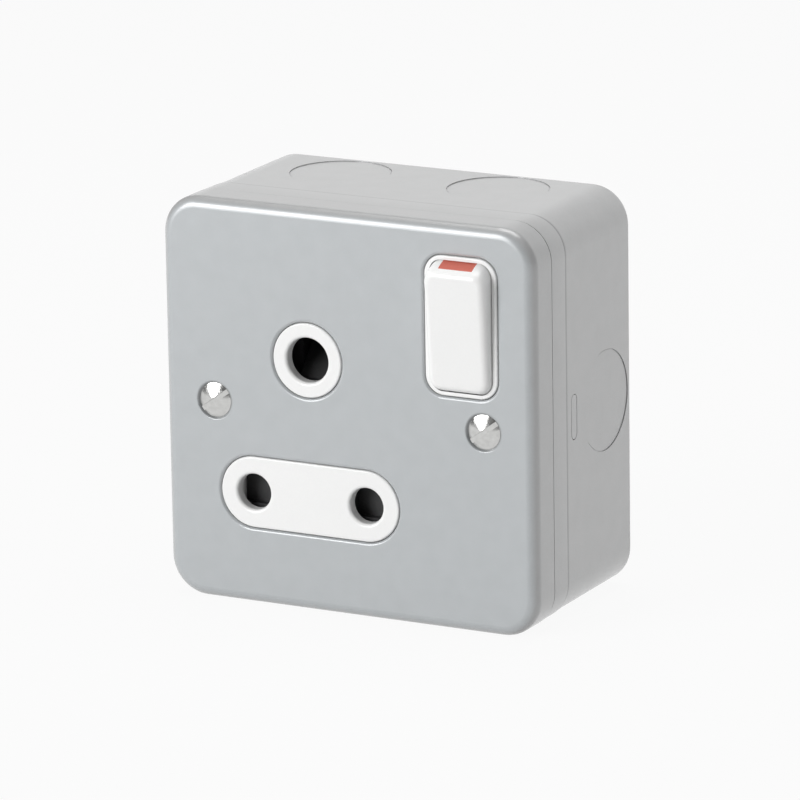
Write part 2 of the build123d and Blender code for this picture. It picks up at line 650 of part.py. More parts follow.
def make_rear_cover():
    outline = Pos(*COVER_MIDDLE) * RectangleRounded(COVER_WIDTH, COVER_HEIGHT, COVER_CORNER)
    cover = slab(outline, COVER_FRONT, COVER_BACK)
    cover -= rod(PINS_X, EARTH_Z, EARTH_TUBE_R + 0.2, COVER_FRONT, COVER_BACK)
    for x, z in (LINE_TERMINAL, NEUTRAL_TERMINAL, EARTH_TERMINAL):
        cover -= rod(x, z, TERMINAL_ACCESS_R, COVER_FRONT, COVER_BACK)
    for x, z in ASSEMBLY_POINTS:
        cover -= rod(x, z, ASSEMBLY_SCREW_R + 0.1, COVER_FRONT, COVER_BACK)
    return cover


def make_assembly_screw(x, z):
    """A pan-head screw from the rear cover through the base into the front moulding."""
    head_r = 2.6
    head_back = COVER_BACK + 1.7
    cross_front = head_back - 0.9
    long, short = 1.5, 0.3
    head = round_back(rod(x, z, head_r, COVER_BACK, head_back), 0.5)
    cross = block(x - short, x + short, cross_front, head_back, z - long, z + long)
    cross += block(x - long, x + long, cross_front, head_back, z - short, z + short)
    return head + rod(x, z, ASSEMBLY_SCREW_R - FIT_GAP, MOULDING_BACK - LOOSE, COVER_BACK) - cross


# Contacts, straps and terminals


def at_seesaw(solid, pole):
    """Puts a solid drawn about a see-saw's pivot in its place, tilted as the see-saw is when ON."""
    return Pos(pole, y_at(SEESAW_DEPTH), SWITCH_Z) * Rot(SEESAW_TILT, 0, 0) * solid


def seesaw_tip(start, thick):
    """A round silver contact, on the see-saw or facing it."""
    return extrude(Plane(origin=(0, start, TIP_HEIGHT), z_dir=(0, 1, 0)) * Circle(TIP_R), amount=thick)


def make_moving_contact(pole):
    strip = Box(2 * STRAP_HALF, SEESAW_THICK, 2 * SEESAW_HALF)
    strip = fillet(strip.edges().filter_by(Axis.Y), 1.0)
    body = strip + seesaw_tip(SEESAW_THICK / 2, TIP_THICK)
    for side in (-1, 1):
        middle = side * (TRUNNION_ROOT + TRUNNION_REACH) / 2
        body += Pos(middle, 0, 0) * along_x(TRUNNION_R, TRUNNION_REACH - TRUNNION_ROOT)
    return at_seesaw(body, pole)


def ring_outline(x, z, inner_r, outer_r):
    return Pos(x, z) * (Circle(outer_r) - Circle(inner_r))


def make_pivot_cradle(pole):
    """The base and the two notched ears that a see-saw rocks on."""
    inner = STRAP_HALF + CRADLE_GAP
    outer = inner + CRADLE_EAR
    notch = TRUNNION_R + CRADLE_GAP
    low, high = SWITCH_Z - CRADLE_HALF, SWITCH_Z + CRADLE_HALF
    ears = block(pole - outer, pole + outer, CRADLE_FRONT, STRAP_BACK, low, high)
    ears -= block(pole - inner, pole + inner, CRADLE_FRONT, STRAP_FRONT, low, high)
    ears -= block(pole - outer, pole + outer, CRADLE_FRONT, SEESAW_DEPTH, SWITCH_Z - notch, SWITCH_Z + notch)
    return ears - Pos(pole, y_at(SEESAW_DEPTH), SWITCH_Z) * along_x(notch, 2 * outer)


def make_line_pivot_strap():
    left, right = LINE_POLE - STRAP_HALF, LINE_POLE + STRAP_HALF
    low, high = LINE_Z - CROSS_HALF, LINE_Z + CROSS_HALF
    outline = bar(left, right, low, SWITCH_Z) + bar(LINE_X + RING_R - STRAP_THICK, right, low, high)
    outline += ring_outline(LINE_X, LINE_Z, LINE_TUBE_R, RING_R)
    return make_pivot_cradle(LINE_POLE) + slab(outline, STRAP_FRONT, STRAP_BACK)


def make_neutral_pivot_strap():
    left, right = NEUTRAL_POLE - STRAP_HALF, NEUTRAL_POLE + STRAP_HALF
    near = slab(bar(left, right, NEUTRAL_JOG, SWITCH_Z), STRAP_FRONT, STRAP_BACK)
    jog = block(left, right, STRAP_FRONT, REAR_STRAP_BACK, NEUTRAL_JOG, NEUTRAL_JOG + STRAP_THICK)
    outline = bar(left, right, NEUTRAL_LEG_END, NEUTRAL_JOG + STRAP_THICK)
    foot_left, foot_right = NEUTRAL_X - STRAP_HALF, NEUTRAL_X + STRAP_HALF
    outline += bar(foot_left, right, NEUTRAL_LEG_END, NEUTRAL_LEG_END + NEUTRAL_LEG_WIDE)
    outline += bar(foot_left, foot_right, NEUTRAL_LEG_END, LINE_Z - LINE_TUBE_R - LOOSE)
    outline += ring_outline(NEUTRAL_X, LINE_Z, LINE_TUBE_R, RING_R)
    return make_pivot_cradle(NEUTRAL_POLE) + near + jog + slab(outline, REAR_STRAP_FRONT, REAR_STRAP_BACK)


def make_fixed_contact(pole, lead):
    """The contact that a see-saw closes on, with a lead to its terminal."""
    tip_front = SEESAW_THICK / 2 + TIP_THICK + TIP_GAP
    pad_front = tip_front + FACING_TIP
    pad = Pos(0, pad_front + STRAP_THICK / 2, PAD_MIDDLE) * Box(2 * STRAP_HALF, STRAP_THICK, PAD_HEIGHT)
    head = at_seesaw(pad + seesaw_tip(tip_front, FACING_TIP), pole)
    return head + slab(lead, STRAP_FRONT, STRAP_BACK)


def terminal_outline(place):
    x, z = place
    return Pos(x, z) * Rectangle(TERMINAL_SIZE, TERMINAL_SIZE)


def terminal_pad(place):
    """The end of a strap on a terminal, with the hole for its clamp screw."""
    x, z = place
    return terminal_outline(place) - Pos(x, z) * Circle(CLAMP_SCREW_R + LOOSE)


def make_line_fixed_contact():
    inner_end = LINE_TERMINAL[0] + TERMINAL_SIZE / 2
    left, right = LINE_POLE - STRAP_HALF, LINE_POLE + STRAP_HALF
    lead = bar(left, right, LEAD_LOW, LEAD_HIGH) + bar(inner_end, right, LEAD_LOW, LEAD_HIGH)
    return make_fixed_contact(LINE_POLE, lead + terminal_pad(LINE_TERMINAL))


def make_neutral_fixed_contact():
    inner_end = NEUTRAL_TERMINAL[0] + TERMINAL_SIZE / 2
    left, right = NEUTRAL_POLE - STRAP_HALF, NEUTRAL_POLE + STRAP_HALF
    lead = bar(left, right, LEAD_LOW, NEUTRAL_LEAD_HIGH)
    lead += bar(inner_end, right, NEUTRAL_LEAD_HIGH - LEAD_WIDE, NEUTRAL_LEAD_HIGH)
    return make_fixed_contact(NEUTRAL_POLE, lead + terminal_pad(NEUTRAL_TERMINAL))


def make_terminal(place):
    """A brass block with a wire hole from top to bottom and a clamp screw hole from behind."""
    x, z = place
    body = slab(terminal_outline(place), TERMINAL_FRONT, STRAP_FRONT)
    wire = Pos(x, y_at(WIRE_DEPTH), z) * Cylinder(WIRE_HOLE_R, TERMINAL_SIZE)
    return body - wire - rod(x, z, CLAMP_SCREW_R, WIRE_DEPTH, STRAP_FRONT)


def make_pin_socket(x, z, bore, radius, start, end):
    """A split brass tube that grips a plug's pin."""
    tube = rod(x, z, radius, start, end) - rod(x, z, bore, start, end)
    return tube - block(x - TUBE_SLIT / 2, x + TUBE_SLIT / 2, start, STRAP_FRONT - 1, z, z + radius)


def make_earth_strap():
    x, z = EARTH_TERMINAL
    outline = ring_outline(PINS_X, EARTH_Z, EARTH_TUBE_R, EARTH_RING_R) + terminal_pad(EARTH_TERMINAL)
    ring_edge = PINS_X - (EARTH_TUBE_R + EARTH_RING_R) / 2
    outline += bar(x + TERMINAL_SIZE / 2, ring_edge, z - TERMINAL_SIZE / 2, z)
    return slab(outline, STRAP_FRONT, STRAP_BACK)


def make_plate_earth_strap():
    """A bent strip from under a pillar screw to the front of the earth terminal."""
    x, z = EARTH_TERMINAL
    hole_x, hole_z = PILLAR_POINTS[0]
    strip = slab(bar(x - TAG_HALF, x + TAG_HALF, z, hole_z + TAG_HALF + 1), MOULDING_BACK, TAG_BACK)
    leg = block(x - TAG_HALF, x + TAG_HALF, MOULDING_BACK, TERMINAL_FRONT, z, z + TAG_THICK)
    return strip + leg - rod(hole_x, hole_z, PILLAR_THREAD_R, MOULDING_BACK, TAG_BACK)


# Shutter


def make_shutter():
    """A bar behind the line and neutral holes, with a ramp that the earth pin pushes down."""
    low, high = LINE_Z - SHUTTER_HALF_HEIGHT, LINE_Z + SHUTTER_HALF_HEIGHT
    left, right = PINS_X - SHUTTER_REACH, PINS_X + SHUTTER_REACH
    stem_left, stem_right = PINS_X - SHUTTER_STEM_HALF, PINS_X + SHUTTER_STEM_HALF
    body = block(left, right, SHUTTER_FRONT, SHUTTER_BACK, low, high)
    body += block(stem_left, stem_right, SHUTTER_FRONT, SHUTTER_BACK, high - 1, RAMP_LOW)
    ledge = LINE_Z - SHUTTER_LEDGE
    for x in (LINE_X, NEUTRAL_X):
        window = sorted((x - SHUTTER_HALF_HEIGHT, x + SHUTTER_HALF_HEIGHT))
        body -= block(*window, SHUTTER_FRONT, SHUTTER_STEP, ledge, high)
    corners = [(y_at(RAMP_FRONT), RAMP_LOW), (y_at(RAMP_BACK), RAMP_HIGH), (y_at(RAMP_BACK), RAMP_LOW)]
    side_view = Plane(origin=(PINS_X - RAMP_HALF, 0, 0), x_dir=(0, 1, 0), z_dir=(1, 0, 0))
    ramp = extrude(side_view * make_face(Polyline(*corners, close=True)), amount=2 * RAMP_HALF)
    neck = block(stem_left, stem_right, RAMP_FRONT, SHUTTER_BACK, RAMP_LOW - STEM_OVERLAP, RAMP_LOW)
    ramp_left, ramp_right = PINS_X - RAMP_HALF, PINS_X + RAMP_HALF
    neck += block(ramp_left, ramp_right, RAMP_FRONT, RAMP_BACK, RAMP_LOW - RAMP_FOOT, RAMP_LOW)
    middle = (SHUTTER_FRONT + SHUTTER_BACK) / 2
    peg = Pos(PINS_X, y_at(middle), low - SHUTTER_PEG / 2) * Cylinder(SHUTTER_PEG_R, SHUTTER_PEG)
    return body + ramp + neck + peg


def make_shutter_spring():
    foot = MOULDING_BOTTOM + MOULDING_WALL
    top = LINE_Z - SHUTTER_HALF_HEIGHT
    middle = (SHUTTER_FRONT + SHUTTER_BACK) / 2
    spring = coil(SHUTTER_SPRING_R, 0.2, top - foot - PLUNGER_GAP, 7)
    return Pos(PINS_X, y_at(middle), foot + PLUNGER_GAP / 2) * spring


terminals = (LINE_TERMINAL, NEUTRAL_TERMINAL, EARTH_TERMINAL)
line_tube = (LINE_TUBE_BORE, LINE_TUBE_R, LINE_TUBE_FRONT)
pieces = {
    "back_box": make_back_box(),
    "front_plate": make_front_plate(),
    "plate_screws": [make_plate_screw(x) for x in (-SCREW_X, SCREW_X)],
    "left_plate_lug": make_plate_lug(-1),
    "right_plate_lug": make_plate_lug(1),
    "box_earth_terminal": make_box_earth_terminal(),
    "box_earth_screw": make_clamp_screw(0, BOX_TERMINAL_Z, BOX_FLOOR - BOX_TERMINAL_SIZE, False),
    "front_moulding": make_front_moulding(),
    "plate_pillars": [make_plate_pillar(x, z) for x, z in PILLAR_POINTS],
    "pillar_screws": [make_pillar_screw(x, z) for x, z in PILLAR_POINTS],
    "rocker": make_rocker(),
    "rocker_flag": make_rocker_flag(),
    "line_plunger": make_plunger(-POLE_SPREAD),
    "neutral_plunger": make_plunger(POLE_SPREAD),
    "line_plunger_spring": make_plunger_spring(-POLE_SPREAD),
    "neutral_plunger_spring": make_plunger_spring(POLE_SPREAD),
    "socket_base": make_socket_base(),
    "rear_cover": make_rear_cover(),
    "assembly_screws": [make_assembly_screw(x, z) for x, z in ASSEMBLY_POINTS],
    "line_moving_contact": make_moving_contact(LINE_POLE),
    "neutral_moving_contact": make_moving_contact(NEUTRAL_POLE),
    "line_pivot_strap": make_line_pivot_strap(),
    "neutral_pivot_strap": make_neutral_pivot_strap(),
    "line_fixed_contact": make_line_fixed_contact(),
    "neutral_fixed_contact": make_neutral_fixed_contact(),
    "line_terminal": make_terminal(LINE_TERMINAL),
    "neutral_terminal": make_terminal(NEUTRAL_TERMINAL),
    "earth_terminal": make_terminal(EARTH_TERMINAL),
    "terminal_screws": [make_clamp_screw(x, z, STRAP_BACK, True) for x, z in terminals],
    "line_pin_socket": make_pin_socket(LINE_X, LINE_Z, *line_tube, LINE_TUBE_BACK),
    "neutral_pin_socket": make_pin_socket(NEUTRAL_X, LINE_Z, *line_tube, REAR_STRAP_BACK),
    "earth_pin_socket": make_pin_socket(
        PINS_X, EARTH_Z, EARTH_TUBE_BORE, EARTH_TUBE_R, EARTH_TUBE_FRONT, EARTH_TUBE_BACK
    ),
    "earth_strap": make_earth_strap(),
    "plate_earth_strap": make_plate_earth_strap(),
    "shutter": make_shutter(),
    "shutter_spring": make_shutter_spring(),
}
for name, piece in pieces.items():
    solid = Compound(children=piece) if isinstance(piece, list) else piece
    export_step(solid, f"parts/{name}.step")
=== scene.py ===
import json
import math

import bmesh
import bpy
import numpy as np
from mathutils import Matrix, Vector


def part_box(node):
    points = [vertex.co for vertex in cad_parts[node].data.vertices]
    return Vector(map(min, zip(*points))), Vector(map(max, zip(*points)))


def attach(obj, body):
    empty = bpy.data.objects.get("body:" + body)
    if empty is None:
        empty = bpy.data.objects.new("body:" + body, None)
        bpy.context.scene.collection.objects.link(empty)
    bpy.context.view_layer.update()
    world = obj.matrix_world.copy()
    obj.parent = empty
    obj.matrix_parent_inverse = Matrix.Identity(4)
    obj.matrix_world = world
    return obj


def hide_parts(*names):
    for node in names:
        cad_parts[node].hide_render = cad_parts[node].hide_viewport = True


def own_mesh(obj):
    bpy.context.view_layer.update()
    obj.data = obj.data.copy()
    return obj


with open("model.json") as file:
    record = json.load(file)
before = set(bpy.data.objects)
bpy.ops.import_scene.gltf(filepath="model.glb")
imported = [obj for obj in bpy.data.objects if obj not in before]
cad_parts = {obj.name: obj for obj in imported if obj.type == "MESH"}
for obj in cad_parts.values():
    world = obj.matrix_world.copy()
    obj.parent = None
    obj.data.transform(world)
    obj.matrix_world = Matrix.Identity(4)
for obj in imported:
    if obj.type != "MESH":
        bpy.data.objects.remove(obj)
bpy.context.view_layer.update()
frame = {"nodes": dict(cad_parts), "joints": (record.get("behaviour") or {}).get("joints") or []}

nodes = frame["nodes"]

# View: a long lens from the right and a little above, as in the photograph.
# It looks at a point level with the plate's face, given by how far it lies right and up in the picture.
YAW = math.radians(27.745)
PITCH = math.radians(15.046)
ROLL = math.radians(-0.921)
LENS_MM = 292.5
SENSOR_MM = 36
NEAREST = 0.05
FARTHEST = 20
DISTANCE = 1.2887
AIM_ACROSS = 0.010394
AIM_UP = 0.003245
plate_low, plate_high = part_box("front_plate")
front_y = plate_low.y

towards = Vector((math.sin(YAW) * math.cos(PITCH), -math.cos(YAW) * math.cos(PITCH), math.sin(PITCH)))
level_right = Vector((math.cos(YAW), math.sin(YAW), 0))
level_up = towards.cross(level_right)
right = math.cos(ROLL) * level_right + math.sin(ROLL) * level_up
up = math.cos(ROLL) * level_up - math.sin(ROLL) * level_right
place = AIM_ACROSS * right + AIM_UP * up + DISTANCE * towards + Vector((0, front_y, 0))
camera = bpy.data.objects.new("camera", bpy.data.cameras.new("camera"))
camera.data.lens = LENS_MM
camera.data.sensor_width = SENSOR_MM
camera.data.clip_start = NEAREST
camera.data.clip_end = FARTHEST
camera.matrix_world = Matrix((right, up, towards)).transposed().to_4x4()
camera.location = place
bpy.context.scene.collection.objects.link(camera)
bpy.context.scene.camera = camera
bpy.context.scene.view_settings.view_transform = "Standard"


# Floor and backdrop: one sheet of pale paper that curves up behind the socket.
# It is diffuse for the light that falls on the socket, and white in the picture and in reflections.
class Value:
    """A number that changes over a surface. Arithmetic on it adds Math nodes to its finish."""

    def __init__(self, finish, socket):
        self.finish = finish
        self.socket = socket

    def math(self, operation, *terms):
        return self.finish.node("ShaderNodeMath", {"operation": operation}, dict(enumerate(terms)))

    def absolute(self):
        return self.math("ABSOLUTE", self)

    def root(self):
        return self.math("SQRT", self)

    def __add__(self, other):
        return self.math("ADD", self, other)

    def __sub__(self, other):
        return self.math("SUBTRACT", self, other)

    def __rsub__(self, other):
        return self.math("SUBTRACT", other, self)

    def __mul__(self, other):
        return self.math("MULTIPLY", self, other)

    def __truediv__(self, other):
        return self.math("DIVIDE", self, other)

    def __rtruediv__(self, other):
        return self.math("DIVIDE", other, self)

    __radd__ = __add__
    __rmul__ = __mul__


# A Mix node's own places for its two colours and for the colour that it gives.
COLOUR_A = 6
COLOUR_B = 7
MIXED_COLOUR = 2


class Finish:
    """The nodes of a material or of the world, and the one method that adds to them."""

    def __init__(self, owner):
        self.owner = owner
        self.owner.use_nodes = True
        self.tree = self.owner.node_tree
        self.tree.nodes.clear()

    def node(self, kind, settings=None, inputs=None, output=0):
        """Adds a node, makes its settings, fills or links its sockets and returns one of its outputs."""
        made = self.tree.nodes.new(kind)
        for name, setting in (settings or {}).items():
            setattr(made, name, setting)
        for name, given in (inputs or {}).items():
            if isinstance(given, Value):
                self.tree.links.new(given.socket, made.inputs[name])
            else:
                made.inputs[name].default_value = given
        return Value(self, made.outputs[output]) if made.outputs else None

    def place(self):
        """The place on the piece, in metres in the socket's own frame."""
        return self.node("ShaderNodeTexCoord", output="Object")

    def place_parts(self):
        """The place's X, Y and Z, each as a value."""
        whole = {"Vector": self.place()}
        return [self.node("ShaderNodeSeparateXYZ", {}, whole, output=axis) for axis in "XYZ"]

    def rise(self, value, start, end):
        """A share that rises from 0 to 1 while a value goes from a start to an end."""
        return self.node("ShaderNodeMapRange", {}, {"Value": value, "From Min": start, "From Max": end})

    def noise(self, scale, detail):
        """Smooth noise from 0 to 1, with a scale in lumps to the metre and a count of finer layers."""
        sockets = {"Vector": self.place(), "Scale": scale, "Detail": detail}
        return self.node("ShaderNodeTexNoise", {}, sockets)

    def tint(self, share, low, high):
        """A colour between two, by a share from 0 to 1."""
        first, second = [end if isinstance(end, Value) else (*end, 1) for end in (low, high)]
        sockets = {"Factor": share, COLOUR_A: first, COLOUR_B: second}
        return self.node("ShaderNodeMix", {"data_type": "RGBA"}, sockets, output=MIXED_COLOUR)

    def multiply(self, colour, cast):
        """A colour multiplied by another."""
        settings = {"data_type": "RGBA", "blend_type": "MULTIPLY"}
        sockets = {"Factor": 1.0, COLOUR_A: colour, COLOUR_B: cast}
        return self.node("ShaderNodeMix", settings, sockets, output=MIXED_COLOUR)

    def bump(self, height, depth):
        """A normal from a height from 0 to 1 that stands for a depth in metres."""
        return self.node("ShaderNodeBump", {}, {"Height": height, "Distance": depth})

    def surface(self, **sockets):
        """The Principled surface, with spaces in its sockets' names written as underscores."""
        named = {name.replace("_", " "): given for name, given in sockets.items()}
        shader = self.node("ShaderNodeBsdfPrincipled", {}, named)
        self.node("ShaderNodeOutputMaterial", {}, {"Surface": shader})
        return self.owner


def put_mesh(name, points, faces):
    """A new smooth object from an array of points and an array of faces with the same number of corners."""
    mesh = bpy.data.meshes.new(name)
    mesh.from_pydata(points.reshape(-1, 3).tolist(), [], faces.tolist())
    mesh.shade_smooth()
    piece = bpy.data.objects.new(name, mesh)
    bpy.context.scene.collection.objects.link(piece)
    return piece


def grid_faces(rows, columns, around=False):
    """The four-cornered faces of a grid of points, closed from the last column to the first if asked."""
    index = np.arange(rows * columns).reshape(rows, columns)
    if around:
        index = np.concatenate([index, index[:, :1]], axis=1)
    corners = [index[:-1, :-1], index[:-1, 1:], index[1:, 1:], index[1:, :-1]]
    return np.stack(corners, axis=-1).reshape(-1, 4)


UNDER_CASE = 0.00003
FLOOR_Z = plate_low.z - UNDER_CASE
SWEEP_RADIUS = 0.5
SWEEP_STEPS = 24
PAPER_HALF_WIDTH = 2.0
PAPER_FRONT = -2.0
PAPER_BACK = 1.6
PAPER_TOP = 2.0
PAPER_COLOUR = (0.55, 0.55, 0.55)
SEEN_WHITE = 0.93
# The sheet's profile is level, then a quarter circle, then upright, and is carried straight across.
bend = np.linspace(0, math.pi / 2, SWEEP_STEPS)
curve_y = PAPER_BACK + SWEEP_RADIUS * np.sin(bend)
curve_z = SWEEP_RADIUS * (1 - np.cos(bend))
profile_y = np.concatenate([[PAPER_FRONT], curve_y, [PAPER_BACK + SWEEP_RADIUS]])
profile_z = np.concatenate([[0], curve_z, [PAPER_TOP]]) + FLOOR_Z
across = np.array([-PAPER_HALF_WIDTH, PAPER_HALF_WIDTH])
sheet = np.stack(
    [
        np.broadcast_to(across, (len(profile_y), 2)),
        np.broadcast_to(profile_y[:, None], (len(profile_y), 2)),
        np.broadcast_to(profile_z[:, None], (len(profile_y), 2)),
    ],
    axis=-1,
)
paper = put_mesh("paper", sheet, grid_faces(len(profile_y), 2))
finish = Finish(bpy.data.materials.new("paper"))
seen = finish.node("ShaderNodeLightPath", output="Is Camera Ray")
mirrored = finish.node("ShaderNodeLightPath", output="Is Glossy Ray")
through = finish.node("ShaderNodeLightPath", output="Is Transmission Ray")
white_share = seen.math("MAXIMUM", seen, seen.math("MAXIMUM", mirrored, through)) * SEEN_WHITE
matt = finish.node("ShaderNodeBsdfDiffuse", {}, {"Color": (*PAPER_COLOUR, 1)})
white = finish.node("ShaderNodeEmission", {}, {"Color": (1, 1, 1, 1), "Strength": 1.0})
mixed = finish.node("ShaderNodeMixShader", {}, {"Fac": white_share, 1: matt, 2: white})
finish.node("ShaderNodeOutputMaterial", {}, {"Surface": mixed})
paper.data.materials.append(finish.owner)

# Light: the main soft box stands to the left and front, with one overhead and one on the right.
# The world gives a little even light from all round, and is a light grey where the camera sees it.
WORLD_LEVEL = 0.25
bpy.context.scene.world = bpy.data.worlds.new("studio")
studio = Finish(bpy.context.scene.world)
seen = studio.node("ShaderNodeLightPath", output="Is Camera Ray")
through = studio.node("ShaderNodeLightPath", output="Is Transmission Ray")
seen_share = seen.math("MAXIMUM", seen, through)
strength = WORLD_LEVEL + seen_share * (1 - WORLD_LEVEL)
glow = studio.node("ShaderNodeBackground", {}, {"Strength": strength})
studio.node("ShaderNodeOutputWorld", {}, {"Surface": glow})

# Each lamp: its place and the point that it faces, in metres, its width and height, and its power in watts.
LAMPS = {
    "overhead": ((-0.02, 0.12, 0.80), (0, 0, 0), 0.60, 0.50, 3.4),
    "left_front": ((-0.74, -1.22, 0.42), (0, 0, 0), 0.80, 0.80, 17.8),
    "right": ((0.88, 0.12, 0.14), (0.04, 0, 0), 0.45, 0.60, 2.7),
}
for name, (spot, aim, width, height, power) in LAMPS.items():
    lamp = bpy.data.lights.new(name, "AREA")
    lamp.shape = "RECTANGLE"
    lamp.size = width
    lamp.size_y = height
    lamp.energy = power
    holder = bpy.data.objects.new(name, lamp)
    holder.location = spot
    holder.visible_camera = False
    holder.rotation_euler = (Vector(spot) - Vector(aim)).to_track_quat("Z", "Y").to_euler()
    bpy.context.scene.collection.objects.link(holder)

# The lamp on the right is only for the side wall: it isn't mirrored in the box's top.
bpy.data.objects["right"].visible_glossy = False

# Case: a drawn steel plate over a pressed steel box, with a threaded lug for each plate screw.
# All of it is stoved in one silver-grey paint with fine metal flakes and a slight orange-peel surface.
PAINT_DARK = (0.418, 0.421, 0.423)
PAINT_LIGHT = (0.500, 0.503, 0.505)
FLAKES_PER_METRE = 9000
CLOUDS_PER_METRE = 250
PEEL_PER_METRE = 1500
PEEL_DEPTH = 0.000012
PAINT_ROUGHNESS = 0.32
FLAKE_ROUGHNESS = 0.14
FLAKE_SHARE = 0.75
CLOUD_SHARE = 0.25
BLEND_FROM = 0.3
BLEND_TO = 0.7
# The plate's face is cooler in tone; its front rounding and skirt are darker, which is painted shade.
FACE_CAST = (0.955, 0.995, 1.018)
ROUNDING_AND_SKIRT_SHADE = (0.915, 0.915, 0.915)
NO_CAST = (1, 1, 1)
# Painted shade: a dark ring in each screw's dimple and a dark line in the crease behind the box's rim.
PAINTED_SHADE = (0.45, 0.45, 0.45)
PAINTED_SHADE_HALF = 0.0007
FACE_END = front_y + 0.0001
ROUNDING_END = front_y + 0.0009
RIM_FRONT = plate_high.y
RIM_CORNER = RIM_FRONT + 0.0066
SCREW_X = 0.03015
DIMPLE_FROM = 0.00355
DIMPLE_TO = 0.0042
DIMPLE_BACK = front_y + 0.0030


def dress(material, *names):
    """Gives one or more CAD nodes a material."""
    for name in names:
        mesh = nodes[name].data
        mesh.materials.clear()
        mesh.materials.append(material)


def case_paint():
    """Silver-grey paint: cooler on the plate's face, with painted shade on its front rounding and skirt and
    in the corners.

    The painted shade in the corners lies in a ring round each screw, by the distance from the screw's axis
    and in the plate only, and in a line behind the box's rim, by the depth.
    """
    finish = Finish(bpy.data.materials.new("case_paint"))
    flakes = finish.noise(FLAKES_PER_METRE, detail=1.0)
    cloud = finish.noise(CLOUDS_PER_METRE, detail=4.0)
    share = finish.rise(flakes * FLAKE_SHARE + cloud * CLOUD_SHARE, BLEND_FROM, BLEND_TO)
    across, depth_in, height = finish.place_parts()
    # Painted shade: the paint darkens across the plate's front rounding and over its skirt.
    face_tint_or_skirt_shade = finish.tint(finish.rise(depth_in, FACE_END, ROUNDING_END), FACE_CAST, ROUNDING_AND_SKIRT_SHADE)
    cast = finish.tint(finish.rise(depth_in, RIM_FRONT, RIM_CORNER), face_tint_or_skirt_shade, NO_CAST)
    # Painted shade round each screw's dimple and in the crease behind the rim.
    off_screw = across.absolute() - SCREW_X
    from_screw = (off_screw * off_screw + height * height).root()
    off_dimple = finish.rise(from_screw, DIMPLE_FROM, DIMPLE_TO)
    behind_plate = finish.rise(depth_in, DIMPLE_BACK, DIMPLE_BACK + PAINTED_SHADE_HALF)
    off_corner = finish.rise((depth_in - RIM_CORNER).absolute(), 0, PAINTED_SHADE_HALF)
    unshaded = off_corner.math("MINIMUM", off_corner, off_corner.math("MAXIMUM", off_dimple, behind_plate))
    paint = finish.multiply(finish.tint(share, PAINT_DARK, PAINT_LIGHT), cast)
    return finish.surface(
        Base_Color=finish.multiply(paint, finish.tint(unshaded, PAINTED_SHADE, NO_CAST)),
        Metallic=0.15,
        Roughness=PAINT_ROUGHNESS + flakes * FLAKE_ROUGHNESS,
        Coat_Weight=1.0,
        Coat_Roughness=0.26,
        Normal=finish.bump(finish.noise(PEEL_PER_METRE, detail=1.0), PEEL_DEPTH),
    )


paint = case_paint()
dress(paint, "back_box", "left_plate_lug", "right_plate_lug", "front_plate")


# Steel fittings: the plate's pillars and the inner screws are turned and zinc-plated, and the
# plungers' springs are wound from bright wire. The screws go in when the socket is put together.
ZINC_COLOUR = (0.62, 0.62, 0.60)
WIRE_COLOUR = (0.55, 0.55, 0.56)
STREAKS_PER_METRE = 900
STREAK_DEPTH = 0.00001
STREAK_ROUGHNESS = 0.15
STREAK_DARK = 0.85


def plated_steel(name, colour, roughness):
    """Steel with faint streaks, whose low ends are darker, smoother and deeper than the high ones."""
    finish = Finish(bpy.data.materials.new(name))
    streaks = finish.noise(STREAKS_PER_METRE, detail=4.0)
    return finish.surface(
        Base_Color=finish.tint(streaks, tuple(STREAK_DARK * part for part in colour), colour),
        Metallic=1.0,
        Roughness=roughness + streaks * STREAK_ROUGHNESS,
        Normal=finish.bump(streaks, STREAK_DEPTH),
    )


zinc = plated_steel("zinc_plate", ZINC_COLOUR, roughness=0.3)
spring_wire = plated_steel("spring_wire", WIRE_COLOUR, roughness=0.18)
dress(zinc, "box_earth_screw", "plate_pillars", "pillar_screws", "assembly_screws", "terminal_screws")
dress(spring_wire, "line_plunger_spring", "neutral_plunger_spring", "shutter_spring")

# Shutter spring: a coil of round steel wire that stands on the base and pushes the shutter up.
# It is wound from one length.
SPRING_WIRE_R = 0.0002
SPRING_TURNS = 7
SPRING_FOOT_Z = -0.0352
SPRING_STEPS = 224
SPRING_ROUND = 12
SPRING_CAP_ROWS = 4


